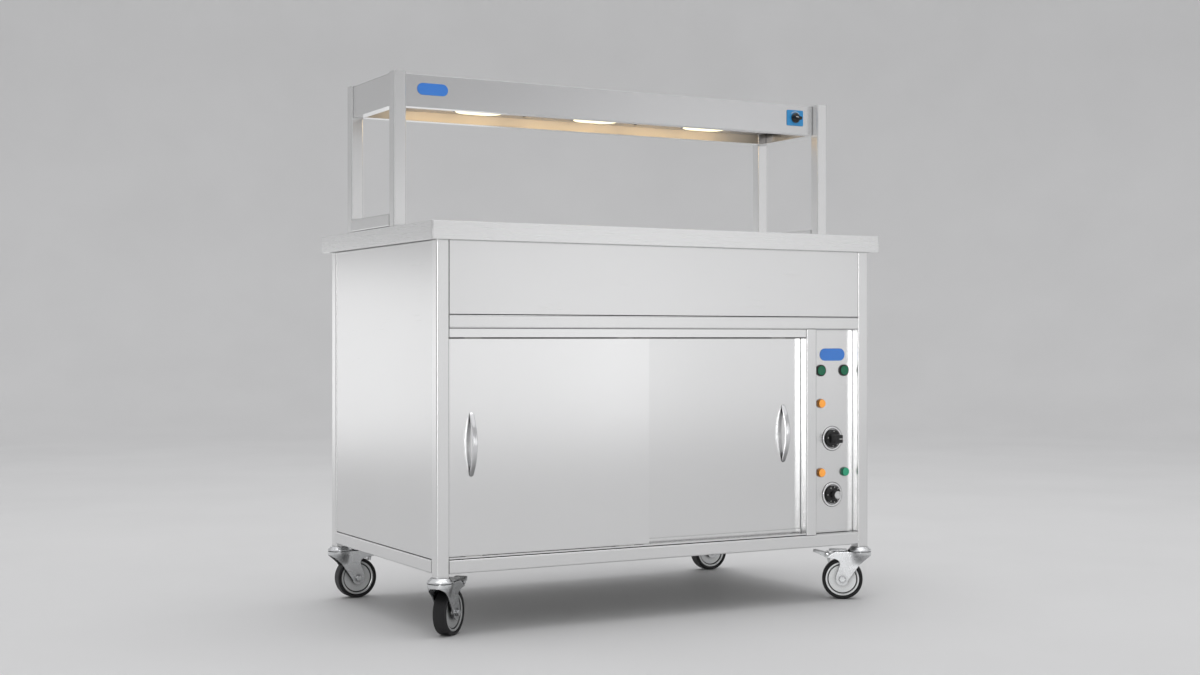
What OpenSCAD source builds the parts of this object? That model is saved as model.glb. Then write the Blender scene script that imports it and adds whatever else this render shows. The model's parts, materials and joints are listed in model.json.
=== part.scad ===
// Mobile heated serving counter: a hot cupboard with two sliding doors under a stainless worktop,
// a three-lamp heat gantry above it, and four braked swivel castors.
// The origin is the centre of the footprint on the floor. +X is the user's right, +Y is to the
// rear, +Z is up.

/* [Worktop] */
// Length of the worktop, left to right
top_w = 1200; // [1100:10:1300]
// Depth of the worktop, front to rear
top_d = 700; // [660:10:760]
// Height of the worktop surface above the floor
top_z = 900; // [880:5:920]
// Depth of the folded edge
edge_h = 40; // [34:1:44]
// How far the worktop stands out past the body
overhang = 20; // [16:1:24]

/* [Body] */
// Side of the square frame tube
tube = 30; // [28:1:32]
// Thickness of the outer panels
skin = 1.2; // [1:0.1:1.5]
// Height of the lower rails above the foot of the posts
foot_gap = 8; // [6:1:12]
// Height of the underside of the header rail above the floor
header_z = 669; // [650:1:680]
// Width of the control panel
control_w = 126; // [120:1:140]
// How far the control panel is set back from the front
control_recess = 23; // [20:1:26]

/* [Doors] */
// Thickness of each sliding door
door_t = 17; // [15:0.5:17]
// Width over which the closed doors overlap
door_overlap = 62; // [50:2:80]
// Height of the top edge of the doors below the header rail
door_drop = 22.5; // [22:0.5:24]
// Length of the bow handles
handle_h = 140; // [120:5:160]
// How far the handles stand out from the doors
handle_out = 24; // [22:1:25]

/* [Gantry] */
// Height of the gantry above the worktop
gantry_h = 350; // [320:10:450]
// Depth of the gantry over its posts
gantry_d = 300; // [280:10:320]
// Distance from the front of the worktop to the front of the gantry
gantry_setback = 216; // [200:4:240]
// Height of the canopy
canopy_h = 74; // [70:1:80]
// Distance between neighbouring lamps
lamp_pitch = 320; // [280:10:330]

/* [Castors] */
// Height of the castors, floor to the foot of the posts
castor_h = 130; // [130:1:134]
// Radius of the wheels
wheel_r = 50; // [48:1:50]
// Width of the tyres
wheel_w = 32; // [30:1:32]
// Distance from the swivel axis to the wheel axle
trail = 42; // [40:1:44]

/* [Hidden] */

eps = 0.01;          // overlap of a cutting solid with the face that it cuts
weld = 0.2;          // gap between neighbouring sheets of one welded or screwed group
run = 0.06;          // radial clearance of a running fit
clear = 0.3;         // gap between pieces that move past each other
wall = 1.5;          // wall of the frame tube and thickness of the worktop sheet
tube_r = 3.5;        // outer corner radius of the frame tube
return_w = 12;       // width of the folded returns of sheets

bx = top_w / 2 - overhang;         // outer faces of the body
by = top_d / 2 - overhang;
ix = bx - tube;                    // inner faces of the posts
iy = by - tube;
rail_z = castor_h + foot_gap;      // lower rails
floor_z = rail_z + tube;
deck_z = floor_z + 1.3;             // top face of the cupboard floor
under_z = top_z - wall;            // underside of the worktop sheet
fascia_z = header_z + tube;
panel_top = under_z - tube - 1;    // outer panels end under the upper rails
fascia_recess = 1;
panel_recess = 2;

mull_x = ix - control_w - tube;    // left face of the mullion
door_gap = 1;                      // end gap of a closed door
door_w = (ix + mull_x - 2 * door_gap + door_overlap) / 2;
door_y = [-by + 6, -by + 6 + door_t + 3];     // front faces of the left and right doors
door_x = [-ix + door_gap, mull_x - door_gap - door_w];
door_z = [floor_z + 6.5, header_z - door_drop];
door_skin = 1;
track_y = [-by + 2, door_y[1] + door_t + 2.5];
web_y = door_y[0] + door_t + 1;    // web of the tracks between the two doors
track_t = 1.2;
track_x = [-ix + 0.5, mull_x - 0.5];
sill_z = deck_z + weld;            // underside of the bottom track
lip_z = header_z - 19.5;           // roller lips of the top track
slot_w = 6;                        // slot between the lips

panel_y = -by + control_recess;    // front face of the control panel
panel_t = 1.5;
control_x = ix - control_w / 2;
pair_dx = 35;                      // half the distance between paired controls
button_z = floor_z + 400;
upper_pilot_z = floor_z + 319;
upper_knob_z = floor_z + 232;
lower_pilot_z = floor_z + 149;
lower_knob_z = floor_z + 94;
badge_z = floor_z + 439;
bezel_h = 3.6;                     // how far a button's bezel stands out of the panel
cap_r = 11.8;                      // button cap
pocket_y = 0.4;                    // depth left behind the cap's pocket in the bezel
button_travel = 2.5;
pilot_neck_r = 6.8;
shaft_r = 3;
neck_r = 4.9;                      // threaded neck of a rotary control

handle_x = [door_x[0] + 53, door_x[1] + door_w - 51];
handle_z = floor_z + 248.5;
handle_w = 10.5;
handle_t = 10.5;                   // thickness of the bow in the middle
handle_foot = 8;                   // length of each end of the bow that rests on the door
stud_r = 2;

gx = top_w / 2;                    // outer faces of the gantry
gy = -top_d / 2 + gantry_setback;  // front face of the gantry
gantry_z = top_z + gantry_h;
canopy_y = [gy + 23, gy + gantry_d - 23];
canopy_z = [gantry_z - 2 - canopy_h, gantry_z - 2];
end_recess = 4;
lip_w = 25;                        // return lips round the canopy's lower edge
plate_z = canopy_z[0] + 26;        // reflector plate
lamp_y = (canopy_y[0] + canopy_y[1]) / 2;
lamp_l = 132;                      // outer size of a lamp bezel
lamp_d = 84;
bezel_z = plate_z - 10;
switch_x = gx - 85.5;
switch_z = canopy_z[0] + 41;

gland_x = control_x;
gland_z = floor_z + 62;
gland_bore = 5;

castor_x = bx - tube / 2;
castor_y = by - tube / 2;
fork_top = castor_h - 12.3;
fork_t = 2.5;
leg_y = wheel_w / 2 + 1.8;         // inner face of the fork legs
axle_r = 4;
king_r = 6;
crown_r = 28;
pivot = [79, fork_top - 6.7];      // pedal pivot, along the trail and up
pivot_r = 2.5;

// Corner index: front left, front right, rear left, rear right
FL = 0;
FR = 1;
RL = 2;
RR = 3;
corners = [[-castor_x, -castor_y, 41], [castor_x, -castor_y, 143],
           [-castor_x, castor_y, 0], [castor_x, castor_y, 180]];

steel = "#c9cbcc";
bright = "#dfe1e2";
zinc = "#a9adb0";
black = "#1b1c1e";
blue = "#2f74d0";
amber = "#f0a040";
green = "#0e7a50";

// ---- helpers ----

module slab(x, y, z) {
    translate([x[0], y[0], z[0]]) cube([x[1] - x[0], y[1] - y[0], z[1] - z[0]]);
}

// rectangle with round corners
module soft_rect(w, d, r) {
    square([w - 2 * r, d], center = true);
    square([w, d - 2 * r], center = true);
    for (x = [-1, 1], y = [-1, 1])
        translate([x * (w / 2 - r), y * (d / 2 - r)]) circle(r, $fn = 48);
}

module stadium(l, d) {
    square([l - d, d], center = true);
    for (x = [-1, 1]) translate([x * (l - d) / 2, 0]) circle(d / 2, $fn = 64);
}

// square tube along Z
module post_tube(h) {
    difference() {
        linear_extrude(h) soft_rect(tube, tube, tube_r);
        translate([0, 0, -eps]) linear_extrude(h + 2 * eps)
            soft_rect(tube - 2 * wall, tube - 2 * wall, tube_r - wall);
    }
}

// square tube from x0 to x1, given the centre of its section
module tube_x(x0, x1, y, z) {
    translate([x0, y, z]) rotate([90, 0, 90]) post_tube(x1 - x0);
}

module tube_y(x, y0, y1, z) {
    translate([x, y1, z]) rotate([90, 0, 0]) post_tube(y1 - y0);
}

// cylinder along Y from y0 towards the rear
module rod_y(x, y0, y1, z, r, fn = 64) {
    translate([x, y1, z]) rotate([90, 0, 0]) cylinder(y1 - y0, r = r, $fn = fn);
}

// profile given as [radius, distance from the panel], spun about an axis that points forward
module turned_y(x, y, z) {
    translate([x, y, z]) rotate([90, 0, 0]) rotate_extrude($fn = 64) children();
}

module mirror_x() {
    children();
    mirror([1, 0, 0]) children();
}

// ---- worktop and frame ----

module worktop() {
    hat_x = top_w / 6;
    color(bright) {
        difference() {
            translate([0, 0, top_z - edge_h]) linear_extrude(edge_h) soft_rect(top_w, top_d, 4);
            translate([0, 0, top_z - edge_h + wall]) linear_extrude(edge_h - 2 * wall)
                soft_rect(top_w - 2 * wall, top_d - 2 * wall, 2.5);
            translate([0, 0, top_z - edge_h - eps]) linear_extrude(2 * wall)
                square([top_w - 2 * return_w, top_d - 2 * return_w], center = true);
        }
        mirror_x() difference() {
            slab([hat_x, hat_x + 60], [-iy + 1, iy - 1], [under_z - 25, under_z + eps]);
            slab([hat_x + wall, hat_x + 60 - wall], [-iy, iy], [under_z - 25 + wall, under_z]);
        }
    }
}

module corner_posts() {
    color(steel) for (x = [-1, 1], y = [-1, 1])
        translate([x * castor_x, y * castor_y, castor_h]) post_tube(under_z - castor_h);
}

module frame_rails() {
    half = tube / 2;
    color(steel) {
        for (z = [rail_z + half, under_z - half]) {
            for (y = [-1, 1]) tube_x(-ix, ix, y * castor_y, z);
            for (x = [-1, 1]) tube_y(x * castor_x, -iy + weld, iy - weld, z);
        }
        tube_x(-ix, ix, -castor_y, header_z + half);
    }
}

module mullion() {
    color(steel) translate([mull_x + tube / 2, -castor_y, floor_z])
        post_tube(header_z - floor_z);
}

// ---- outer panels ----

// upright sheet in the XZ plane with returns folded away from the viewer
module tray_y(x, y, z, t, ret) {
    difference() {
        slab(x, [y, y + ret], z);
        slab([x[0] + t, x[1] - t], [y + t, y + ret + eps], [z[0] + t, z[1] - t]);
    }
}

module front_fascia() {
    color(bright) tray_y([-ix + 0.4, ix - 0.4], -by + fascia_recess, [fascia_z + 1.2, panel_top],
                         skin, return_w);
}

module side_panel() {
    rotate([0, 0, -90]) tray_y([-iy + 0.4, iy - 0.4], -bx + panel_recess,
                               [floor_z + 1.2, panel_top], skin, return_w);
}

module left_side_panel() {
    color(bright) side_panel();
}

module right_side_panel() {
    color(bright) mirror([1, 0, 0]) side_panel();
}

module rear_panel() {
    color(bright) difference() {
        rotate([0, 0, 180]) tray_y([-ix + 0.4, ix - 0.4], -by + panel_recess,
                                   [floor_z + 1.2, panel_top], skin, return_w);
        rod_y(gland_x, by - 10, by, gland_z, 10);
        for (p = rear_screws()) rod_y(p[0], by - 10, by, p[1], 2.2);
    }
}

function rear_screws() = [for (x = [-1, 0, 1], z = [floor_z + 40, panel_top - 70])
                          [x * (ix - 30), z]];

// ---- inside of the cupboard ----

module cupboard_floor() {
    drop = 18;
    color(steel) difference() {
        slab([-ix + 1, ix - 1], [-iy + weld, iy - weld], [deck_z - drop, deck_z]);
        slab([-ix + 1 + skin, ix - 1 - skin], [-iy + weld + skin, iy - weld - skin],
             [deck_z - drop - eps, deck_z - skin]);
    }
}

liner_y = [track_y[1] + 1, iy - 14];
liner_x = [-ix + 1, mull_x + 2];
liner_z = [deck_z + weld, header_z - 2];
shelf_z = [floor_z + 237, floor_z + 257];
element_r = 4;
element_pitch = 100;
element_z = floor_z + 22;

module cupboard_liner() {
    t = 1;
    color(steel) {
        slab([liner_x[0], liner_x[0] + t], liner_y, liner_z);
        slab([liner_x[0] + t + weld, liner_x[1] - t - weld], [liner_y[1] - t, liner_y[1]], liner_z);
        slab([liner_x[0], liner_x[1]], liner_y, [liner_z[1] + weld, liner_z[1] + weld + t]);
        difference() {
            slab([liner_x[1] - t, liner_x[1]], liner_y, liner_z);
            tail_holes(liner_x[1] - t, t);
        }
        for (y = [-180, 180]) {
            shelf_bracket(liner_x[0] + t + weld, y, 1);
            shelf_bracket(liner_x[1] - t - weld, y, -1);
        }
    }
}

// holes for the two tails of the element, through a sheet of thickness t that starts at x
module tail_holes(x, t) {
    for (y = [-1.5, 1.5] * element_pitch) translate([x - t, y, element_z]) rotate([0, 90, 0])
        cylinder(3 * t, r = element_r + clear, $fn = 48);
}

// angle bracket on an inner wall; side is the direction away from the wall
module shelf_bracket(x, y, side) {
    leg = 20;
    t = 1.5;
    translate([x, y, shelf_z[0]]) mirror([side < 0 ? 1 : 0, 0, 0]) {
        slab([0, t], [-60, 60], [-leg, 0]);
        slab([0, leg], [-60, 60], [-t, 0]);
    }
}

module middle_shelf() {
    x = [liner_x[0] + 4, liner_x[1] - 4];
    y = [liner_y[0] + 14, liner_y[1] - 14];
    color(bright) difference() {
        slab(x, y, shelf_z);
        slab([x[0] + skin, x[1] - skin], [y[0] + skin, y[1] - skin],
             [shelf_z[0] + skin, shelf_z[1] - skin]);
        slab([x[0] + return_w, x[1] - return_w], [y[0] + return_w, y[1] - return_w],
             [shelf_z[0] - eps, shelf_z[0] + 2 * skin]);
    }
}

module heating_element() {
    left = -ix + 110;
    right = mull_x - 100;
    bend = element_pitch / 2;
    color(zinc) {
        for (i = [0:3]) element_run(i == 1 || i == 2 ? right : mull_x + 30, left,
                                    (i - 1.5) * element_pitch);
        for (y = [-element_pitch, element_pitch]) element_bend(left, y, bend, 0);
        element_bend(right, 0, bend, 1);
        for (y = [-1.5, 1.5] * element_pitch) translate([mull_x + 30, y, element_z])
            rotate([0, 90, 0]) cylinder(18, r = 2, $fn = 32);
    }
}

module element_run(x1, x0, y) {
    translate([x0, y, element_z]) rotate([0, 90, 0]) cylinder(x1 - x0, r = element_r, $fn = 48);
}

// half ring; right = 1 turns it towards +X
module element_bend(x, y, r, right) {
    translate([x, y, element_z]) intersection() {
        rotate_extrude($fn = 64) translate([r, 0]) circle(element_r, $fn = 48);
        translate([right ? 0 : -2 * r, -2 * r, -2 * element_r])
            cube([2 * r, 4 * r, 4 * element_r]);
    }
}

// slotted cover over the element, and two ribs that carry the element
module element_guard() {
    x = [-ix + 40, mull_x - 40];
    y = [-220, 220];
    z = [deck_z + weld, floor_z + 48];
    slots = 12;
    rows = 7;
    pitch_x = (x[1] - x[0] - 40) / slots;
    pitch_y = (y[1] - y[0] - 40) / rows;
    color(steel) {
        difference() {
            slab(x, y, z);
            slab([x[0] + skin, x[1] - skin], [y[0] - 1, y[1] + 1], [z[0] - 1, z[1] - skin]);
            for (i = [0:slots - 1], j = [0:rows - 1])
                translate([x[0] + 20 + (i + 0.5) * pitch_x, y[0] + 20 + (j + 0.5) * pitch_y, z[1] - 3])
                    linear_extrude(6) square([pitch_x - 24, 8], center = true);
            tail_holes(x[1] - skin, skin);
        }
        for (rib = [-260, 140])
            slab([rib, rib + 2], [-170, 170], [z[0], element_z - element_r - weld]);
    }
}

// ---- door tracks ----

module door_top_track() {
    top = header_z - 0.5;
    web = [lip_z, top];
    color(steel) {
        slab(track_x, track_y, [top - track_t, top]);
        for (y = [track_y[0], web_y, track_y[1] - track_t])
            slab(track_x, [y, y + (y == web_y ? 1 : track_t)], web);
        for (i = [0, 1]) {
            mid = door_y[i] + door_t / 2;
            inner = [i ? web_y + 1 : track_y[0] + track_t, i ? track_y[1] - track_t : web_y];
            slab(track_x, [inner[0] - eps, mid - slot_w / 2], [lip_z, lip_z + track_t]);
            slab(track_x, [mid + slot_w / 2, inner[1] + eps], [lip_z, lip_z + track_t]);
        }
    }
}

module door_bottom_track() {
    top = sill_z + track_t;
    color(bright) {
        slab(track_x, track_y, [sill_z, top]);
        slab(track_x, [track_y[0], track_y[0] + track_t], [sill_z, top + 2.5]);
        slab(track_x, [web_y, web_y + 1], [sill_z, top + 12]);
        slab(track_x, [track_y[1] - track_t, track_y[1]], [sill_z, top + 12]);
    }
}

// ---- sliding doors, i = 0 for the left one and 1 for the right one ----

module door_panel(i) {
    x = [door_x[i], door_x[i] + door_w];
    y = door_y[i];
    z = door_z;
    t = door_skin;
    flange = 22;
    color(bright) {
        difference() {
            slab(x, [y, y + door_t], z);
            slab([x[0] + t, x[1] - t], [y + t, y + door_t - t], [z[0] + t, z[1] - t]);
            slab([x[0] + flange, x[1] - flange], [y + t, y + door_t + eps],
                 [z[0] + flange, z[1] - flange]);
            for (s = [-1, 1]) rod_y(handle_x[i], y - 1, y + 2 * t, handle_z + s * stud_z(),
                                    stud_r + clear);
        }
        slab([x[0] + 8, x[1] - 8], [y + door_t - 2 * t - weld, y + door_t - t - weld],
             [z[0] + 8, z[1] - 8]);
    }
}

function stud_z() = (handle_h - handle_foot) / 2;

// disc whose edge crosses the door at +/-half and stands out by rise halfway between
module bow_disc(half, rise) {
    r = (half * half + rise * rise) / (2 * rise);
    translate([r - rise, 0]) circle(r, $fn = 256);
}

// side view of a bow: x is the distance behind the door's face, y is up
module bow_outline() {
    difference() {
        intersection() {
            bow_disc(handle_h / 2, handle_out);
            translate([-handle_out - 1, -handle_h]) square([handle_out + 1, 2 * handle_h]);
        }
        bow_disc(handle_h / 2 - handle_foot, handle_out - handle_t);
    }
}

// bow handle, thick in the middle, with rounded ends and two studs through the door
module door_handle(i) {
    y = door_y[i];
    color("#e6e8ea") {
        intersection() {
            translate([handle_x[i] - handle_w / 2, y, handle_z]) rotate([90, 0, 90])
                linear_extrude(handle_w) bow_outline();
            translate([handle_x[i], y, handle_z]) rotate([90, 90, 0])
                linear_extrude(handle_out + 1) stadium(handle_h, handle_w);
        }
        for (s = [-1, 1]) {
            z = handle_z + s * stud_z();
            rod_y(handle_x[i], y - 1, y + 9, z, stud_r, 32);
            rod_y(handle_x[i], y + door_skin + 0.1, y + 6, z, 4, 6);
        }
    }
}

// nylon glides: two T-shaped hangers in the top track and two shoes in the bottom track
module door_glides(i) {
    y = door_y[i] + door_t / 2;
    color("#e8e6e0") for (x = [door_x[i] + 60, door_x[i] + door_w - 60]) {
        slab([x - 20, x + 20], [y - 2, y + 2], [door_z[1], lip_z + track_t + 4]);
        slab([x - 20, x + 20], [y - 8, y + 8], [lip_z + track_t + clear, header_z - 7]);
        slab([x - 20, x + 20], [y - 8, y + 8], [sill_z + track_t + clear, door_z[0]]);
    }
}

// ---- controls ----

module control_panel() {
    y = [panel_y, panel_y + panel_t];
    color(bright) difference() {
        tray_y([mull_x + tube + 0.4, ix - 0.4], y[0], [deck_z + weld, header_z - 0.4],
               panel_t, return_w);
        for (s = [-1, 1]) rod_y(control_x + s * pair_dx, y[0] - 1, y[1] + 1, button_z, 11.15);
        for (p = concat(amber_places(), [green_place()]))
            rod_y(p[0], y[0] - 1, y[1] + 1, p[1], pilot_neck_r + 0.1);
        for (z = [upper_knob_z, lower_knob_z])
            rod_y(control_x, y[0] - 1, y[1] + 1, z, neck_r + 0.1);
    }
}

function amber_places() = [[control_x - pair_dx, upper_pilot_z], [control_x - pair_dx, lower_pilot_z]];
function green_place() = [control_x + pair_dx + 2, lower_pilot_z];

// push-button housings, thermostats and the gantry's rotary switch
module control_blocks() {
    color(black) {
        for (s = [-1, 1]) button_housing(control_x + s * pair_dx, button_z);
        for (z = [upper_knob_z, lower_knob_z])
            rotary_block(control_x, panel_y, z, panel_t, 46, 34);
        rotary_block(switch_x, canopy_y[0], switch_z, skin, 26, 26);
    }
}

module button_housing(x, z) {
    back = panel_y + panel_t;
    difference() {
        union() {
            rod_y(x, panel_y - bezel_h, panel_y, z, 14);
            rod_y(x, panel_y - eps, back + eps, z, 11.1);
            rod_y(x, back, back + 10, z, 14);
            slab([x - 14, x + 14], [back + 10 - eps, back + 46], [z - 20, z + 20]);
        }
        rod_y(x, panel_y - bezel_h - 1, panel_y - pocket_y, z, cap_r + clear);
        rod_y(x, panel_y - 1, back + 24, z, 5.4);
    }
}

// square body behind a sheet, with a round threaded neck that holds the shaft
module rotary_block(x, y, z, sheet, size, depth) {
    back = y + sheet;
    difference() {
        union() {
            rod_y(x, y - 1.4, back + eps, z, neck_r);
            slab([x - size / 2, x + size / 2], [back, back + depth], [z - size / 2, z + size / 2]);
        }
        rod_y(x, y - 2, back + depth - 8, z, shaft_r + run);
    }
}

// lens with a flange in front of the panel, a neck through it and a body behind
module pilot(x, z) {
    r = 11;
    turned_y(x, panel_y, z) {
        polygon([[0, -24], [7.5, -24], [7.5, -panel_t - 3], [9, -panel_t - 3], [9, -panel_t],
                 [pilot_neck_r, -panel_t], [pilot_neck_r, 0], [r, 0], [r, 3], [0, 3]]);
        translate([0, 3 - eps]) intersection() {
            translate([0, -5.2]) circle(10.8, $fn = 96);
            square([r, 8]);
        }
    }
}

module amber_pilots() {
    color(amber) for (p = amber_places()) pilot(p[0], p[1]);
}

module green_pilot() {
    color(green) pilot(green_place()[0], green_place()[1]);
}

module dial_rings() {
    color(bright) for (z = [upper_knob_z, lower_knob_z]) turned_y(control_x, panel_y, z)
        polygon([[neck_r + 0.1, 0], [30, 0], [30, 1.6], [28.9, 3], [27, 3], [25.6, 1.2],
                 [neck_r + 0.1, 1.2]]);
}

module pill(x, y, z, l, h) {
    translate([x, y, z]) rotate([90, 0, 0]) linear_extrude(1.2) stadium(l, h);
}

module badges() {
    color(blue) {
        pill(control_x, panel_y, badge_z, 75, 30);
        pill(-gx + 104, canopy_y[0], canopy_z[0] + 42, 76, 27);
    }
}

module push_button(x, z) {
    color(green) {
        turned_y(x, panel_y - pocket_y - button_travel - clear, z)
            polygon([[0, 0], [cap_r, 0], [cap_r, 1.2], [cap_r - 0.6, 1.8], [0, 1.8]]);
        rod_y(x, panel_y - pocket_y - button_travel - 1, panel_y + 16, z, 5);
    }
}

// skirted knob with a finger boss and a shaft that ends at shaft_end
module knob(x, y, z, skirt_r, boss_r, reach, shaft_end) {
    base = 0.8;
    color(black) {
        turned_y(x, y, z) polygon([[0, base], [skirt_r, base], [skirt_r, base + 3],
                                   [skirt_r - 1.5, base + 7.5], [boss_r + 0.6, base + 8.6],
                                   [boss_r, reach - 1], [boss_r - 1, reach], [0, reach]]);
        rod_y(x, y - base - 1, shaft_end, z, shaft_r, 48);
    }
}

// ---- gantry ----

module gantry_posts() {
    color(steel) for (x = [-1, 1], y = [gy + tube / 2, gy + gantry_d - tube / 2])
        translate([x * (gx - tube / 2), y, top_z]) {
            post_tube(gantry_h - wall);
            translate([0, 0, gantry_h - wall]) linear_extrude(wall) soft_rect(tube, tube, tube_r);
        }
}

module gantry_foot_rails() {
    color(steel) for (x = [-1, 1])
        tube_y(x * (gx - tube / 2), gy + tube + weld, gy + gantry_d - tube - weld, top_z + tube / 2);
}

// top, front and rear of the canopy with the long return lips, folded from one sheet
module canopy_shell() {
    x = [-gx + tube + weld, gx - tube - weld];
    wing = [-gx + end_recess, gx - end_recess];
    between = [gy + tube + weld, gy + gantry_d - tube - weld];
    y = canopy_y;
    z = canopy_z;
    t = skin;
    color(bright) difference() {
        union() {
            slab(x, y, [z[1] - t, z[1]]);
            slab(wing, between, [z[1] - t, z[1]]);
            slab(x, [y[0], y[0] + t], z);
            slab(x, [y[1] - t, y[1]], z);
            slab(x, [y[0], y[0] + lip_w], [z[0], z[0] + t]);
            slab(x, [y[1] - lip_w, y[1]], [z[0], z[0] + t]);
        }
        rod_y(switch_x, y[0] - 1, y[0] + 3, switch_z, neck_r + 0.1);
    }
}

module canopy_end_panels() {
    y = [gy + tube + weld, gy + gantry_d - tube - weld];
    z = [canopy_z[0], canopy_z[1] - skin - weld];
    outer = gx - end_recess;
    color(bright) mirror_x() {
        slab([outer - skin, outer], y, z);
        slab([outer - lip_w, outer], y, [z[0], z[0] + skin]);
    }
}

module reflector_plate() {
    x = gx - tube - 1.5;
    y = [canopy_y[0] + skin + 0.3, canopy_y[1] - skin - 0.3];
    color(steel) difference() {
        slab([-x, x], y, [plate_z, plate_z + skin]);
        for (i = [-1:1]) translate([i * lamp_pitch, lamp_y, plate_z - 1]) linear_extrude(4)
            stadium(lamp_l - 8, lamp_d - 8);
    }
}

// each lamp has a deep housing with a bezel, and a small terminal cover on the plate to its left
module lamp_housings() {
    t = 1.2;
    deep = 36;
    color("#d9dadb") for (i = [-1:1]) translate([i * lamp_pitch, lamp_y, bezel_z]) {
        difference() {
            union() {
                linear_extrude(10) stadium(lamp_l, lamp_d);
                translate([0, 0, 10 - eps]) linear_extrude(deep)
                    stadium(lamp_l - 8.6, lamp_d - 8.6);
            }
            translate([0, 0, -eps]) linear_extrude(2.5) stadium(lamp_l - 12, lamp_d - 12);
            translate([0, 0, 2]) linear_extrude(8 + deep - t) stadium(lamp_l - 16, lamp_d - 16);
        }
        slab([-lamp_l / 2 - 36, -lamp_l / 2 - 4], [-32, 0], [10 - 3 - weld, 10 - weld]);
    }
}

module lamp_lenses() {
    color("#fff3c4") for (i = [-1:1]) translate([i * lamp_pitch, lamp_y, bezel_z + 0.3])
        linear_extrude(2) stadium(lamp_l - 12.4, lamp_d - 12.4);
}

// quartz tube of each lamp, with an end cap that reaches the housing at either end
module lamp_tubes() {
    half = lamp_l / 2 - 9.1;
    cap = 14;
    color("#ffe9a0") for (i = [-1:1]) translate([i * lamp_pitch, lamp_y, bezel_z + 20])
        rotate([0, 90, 0]) {
            translate([0, 0, -half + cap / 2]) cylinder(2 * half - cap, r = 5, $fn = 48);
            for (z = [-half, half - cap]) translate([0, 0, z]) cylinder(cap, r = 7, $fn = 48);
        }
}

module switch_plate() {
    color(blue) translate([switch_x, canopy_y[0], switch_z]) rotate([90, 0, 0])
        linear_extrude(2) difference() {
            soft_rect(50, 40, 3);
            circle(neck_r + 0.4, $fn = 48);
        }
}

// ---- castors, i is a corner index ----

module at_corner(i) {
    translate([corners[i][0], corners[i][1], 0]) rotate([0, 0, corners[i][2]]) children();
}

// fixed upper half of the swivel: plug in the post, conical head and king pin with its nut
module castor_bearings() {
    plug = tube - 2 * wall - 0.4;
    head = fork_top + clear;
    color(zinc) for (i = [FL:RR]) at_corner(i) {
        rotate_extrude($fn = 96) polygon([[0, head], [27.8, head], [27.8, head + 1],
                                          [29, head + 1.2], [29, head + 4], [28.2, head + 5],
                                          [26.5, head + 5.8], [21.5, castor_h], [0, castor_h]]);
        rotate([0, 0, -corners[i][2]]) translate([0, 0, castor_h - eps]) linear_extrude(34)
            soft_rect(plug, plug, tube_r - wall);
        translate([0, 0, fork_top - 10]) cylinder(11, r = king_r, $fn = 48);
        translate([0, 0, fork_top - 10]) cylinder(7, r = 10, $fn = 6);
    }
}

// outline of a fork leg, with x along the trail and y up
module leg_outline() {
    top = fork_top;
    difference() {
        union() {
            polygon([[-28, top], [59, top], [84, top - 13.7], [83, top - 18.7],
                     [62, top - 18.7], [62, top - 31.7], [48, top - 31.7],
                     [trail + 15, wheel_r + 4], [trail, wheel_r], [trail - 12, wheel_r - 9],
                     [-10, top - 19.7], [-28, top - 4.7]]);
            translate([trail, wheel_r]) circle(15.5, $fn = 96);
        }
        translate([62, top - 32.7]) circle(14, $fn = 96);
    }
}

// leg outline as a plate from y0 to y1 across the fork
module leg_plate(y0, y1) {
    translate([0, y1, 0]) rotate([90, 0, 0]) linear_extrude(y1 - y0) leg_outline();
}

module fork(i) {
    out = leg_y + fork_t;
    color(zinc) at_corner(i) {
        difference() {
            union() {
                for (s = [-1, 1]) leg_plate(s > 0 ? leg_y : -out, s > 0 ? out : -leg_y);
                intersection() {
                    difference() {
                        translate([0, 0, fork_top - 16]) cylinder(16, r = crown_r, $fn = 96);
                        translate([0, 0, fork_top - 17]) cylinder(17 - fork_t, r = crown_r - fork_t,
                                                                  $fn = 96);
                    }
                    leg_plate(-30, 30);
                }
                slab([0, 59], [-out, out], [fork_top - fork_t, fork_top]);
            }
            translate([0, 0, fork_top - 5]) cylinder(6, r = king_r + run, $fn = 48);
            translate([trail, 30, wheel_r]) rotate([90, 0, 0])
                cylinder(60, r = axle_r + clear, $fn = 48);
        }
        axle(out);
        for (s = [-1, 1]) translate([pivot[0], s > 0 ? out + 1 : -leg_y + 1, pivot[1]])
            rotate([90, 0, 0]) cylinder(fork_t + 2, r = 5, $fn = 48);
        translate([pivot[0], out, pivot[1]]) rotate([90, 0, 0])
            cylinder(2 * out, r = pivot_r, $fn = 48);
    }
}

// axle bolt with its head, washers and nut
module axle(out) {
    translate([trail, 0, wheel_r]) rotate([90, 0, 0]) {
        translate([0, 0, -out - 3]) cylinder(2 * out + 6, r = axle_r, $fn = 48);
        for (s = [-1, 1]) {
            translate([0, 0, s * (out + 0.1) - (s < 0 ? 1.5 : 0)]) cylinder(1.5, r = 8.5, $fn = 48);
            translate([0, 0, s * (out + 1.6) - (s < 0 ? 5 : 0)]) cylinder(5, r = 7.5, $fn = 6);
        }
    }
}

module wheel_turn(i) {
    at_corner(i) translate([trail, 0, wheel_r]) rotate([90, 0, 0]) rotate_extrude($fn = 128)
        children();
}

module hub(i) {
    side = wheel_w / 2 - 2;
    rim = wheel_r - 8;
    boss = leg_y - 0.4;
    half = [[axle_r + run, boss], [10, boss], [12, side - 3], [rim - 8, side - 3],
            [rim - 7.2, side - 4.5], [rim - 6, side - 4.5], [rim - 5.4, side - 0.6],
            [rim - 4, side], [rim - 1, side], [rim, side - 1]];
    color("#b9bcbe") wheel_turn(i)
        polygon(concat(half, [for (k = [len(half) - 1:-1:0]) [half[k][0], -half[k][1]]]));
}

module tyre(i) {
    color(black) wheel_turn(i) translate([wheel_r - 4, 0]) soft_rect(8, wheel_w, 3.4);
}

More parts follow.
